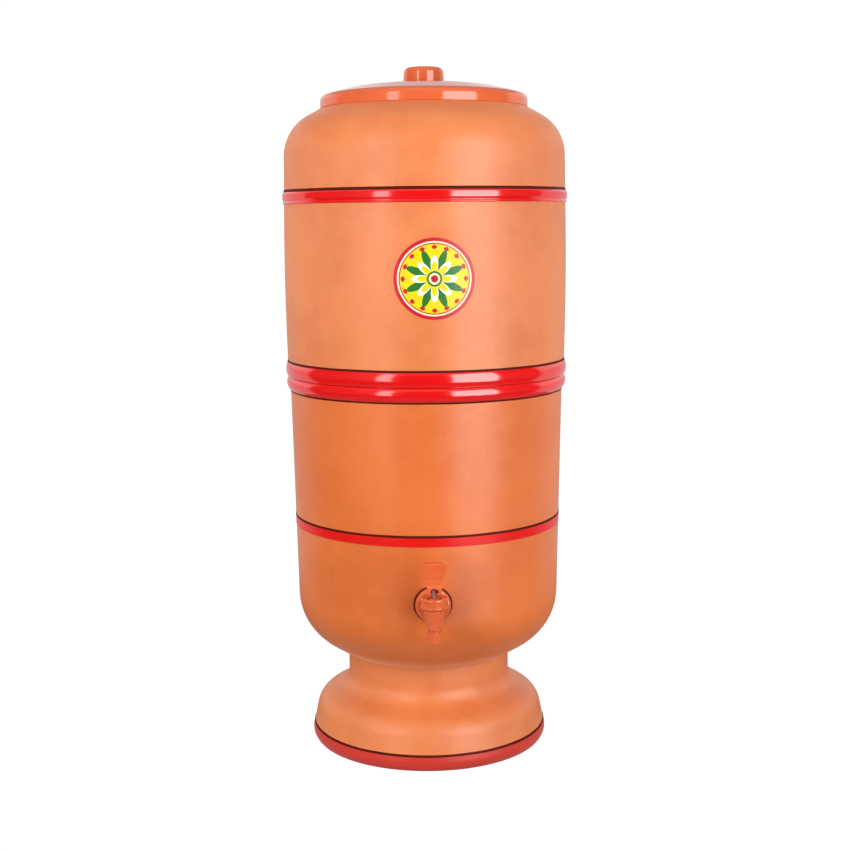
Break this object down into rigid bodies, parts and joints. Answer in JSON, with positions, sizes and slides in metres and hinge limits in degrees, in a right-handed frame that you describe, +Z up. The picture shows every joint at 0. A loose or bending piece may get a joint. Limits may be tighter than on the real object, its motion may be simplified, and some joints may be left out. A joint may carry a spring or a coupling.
{
  "type": "clay water filter with tap",
  "caption": "Gravity-fed clay water pot on a flared foot: lift-off upper vessel with ceramic candles and float valves over a reservoir with a lever tap, and a domed lid with a knob.",
  "frame": {"origin": "centre of the ring that the foot stands on", "axes": "+Z up along the vessels' common axis, -Y towards the tap, +X to the right of someone who faces the tap"},
  "size_m": [0.2434, 0.276, 0.584],
  "materials": {
    "clay": "unglazed fired clay, fine and matte",
    "red_enamel": "glossy red enamel paint",
    "label_film": "printed transfer label under clear varnish",
    "terracotta_plastic": "moulded plastic, glossy",
    "dark_rubber": "dark rubber",
    "silicone": "pale food-grade silicone rubber",
    "white_plastic": "moulded polypropylene",
    "steel": "stainless steel",
    "candle_ceramic": "porous white ceramic",
    "carbon": "pressed activated carbon",
    "float_foam": "light blown plastic"
  },
  "bodies": {
    "reservoir": {"pedestal_foot": "clay", "lower_vessel": "clay", "lower_rim_bead": "red_enamel", "belt_stripe": "red_enamel", "foot_stripe": "red_enamel", "tap_body": "terracotta_plastic", "tap_outer_gasket": "dark_rubber", "tap_inner_gasket": "dark_rubber", "tap_lock_nut": "terracotta_plastic", "tap_bonnet": "terracotta_plastic", "tap_seat_cup": "silicone"},
    "filter_vessel": {"upper_vessel": "clay", "upper_rim_bead": "red_enamel", "shoulder_band": "red_enamel", "front_label": "label_film", "candle_gaskets": "silicone", "candle_washers": "silicone", "candle_wing_nuts": "white_plastic", "float_hinge_pins": "steel", "candle_shell_left": "candle_ceramic", "candle_shell_right": "candle_ceramic", "candle_carbon_left": "carbon", "candle_carbon_right": "carbon", "candle_base_left": "white_plastic", "candle_base_right": "white_plastic", "float_valve_body_left": "white_plastic", "float_valve_body_right": "white_plastic"},
    "lid": {"lid": "terracotta_plastic", "lid_knob": "terracotta_plastic", "lid_knob_washer": "white_plastic", "lid_knob_screw": "steel"},
    "tap_stem": {"tap_stem": "white_plastic", "tap_pin": "steel"},
    "tap_lever": {"tap_lever": "terracotta_plastic"},
    "float_left": {"float_arm_left": "white_plastic", "float_pad_left": "silicone", "float_bulb_left": "float_foam"},
    "float_right": {"float_arm_right": "white_plastic", "float_pad_right": "silicone", "float_bulb_right": "float_foam"}
  },
  "joints": [
    {"name": "filter_vessel_lift", "type": "slide", "parent": "reservoir", "child": "filter_vessel", "axis": [0, 0, 1], "range_m": [0, 0.12]},
    {"name": "lid_lift", "type": "slide", "parent": "filter_vessel", "child": "lid", "axis": [0, 0, 1], "range_m": [0, 0.08]},
    {"name": "tap_stem_lift", "type": "slide", "parent": "reservoir", "child": "tap_stem", "axis": [0, 0, 1], "range_m": [0, 0.004], "deforming": ["tap_seat_cup"]},
    {"name": "tap_lever_tilt", "type": "hinge", "parent": "tap_stem", "child": "tap_lever", "pos_m": [0, -0.14336, 0.16525], "axis": [1, 0, 0], "range_deg": [0, 75], "stiffness_Nm_per_rad": 0.03, "springref_deg": -17.19},
    {"name": "float_left_hinge", "type": "hinge", "parent": "filter_vessel", "child": "float_left", "pos_m": [-0.038, -0.0125, 0.2658], "axis": [1, 0, 0], "range_deg": [0, 22]},
    {"name": "float_right_hinge", "type": "hinge", "parent": "filter_vessel", "child": "float_right", "pos_m": [0.038, -0.0125, 0.2658], "axis": [1, 0, 0], "range_deg": [0, 22]}
  ],
  "couplings": [
    {"joint": "tap_stem_lift", "follows": "tap_lever_tilt", "m_per_rad": 0.0029794}
  ]
}
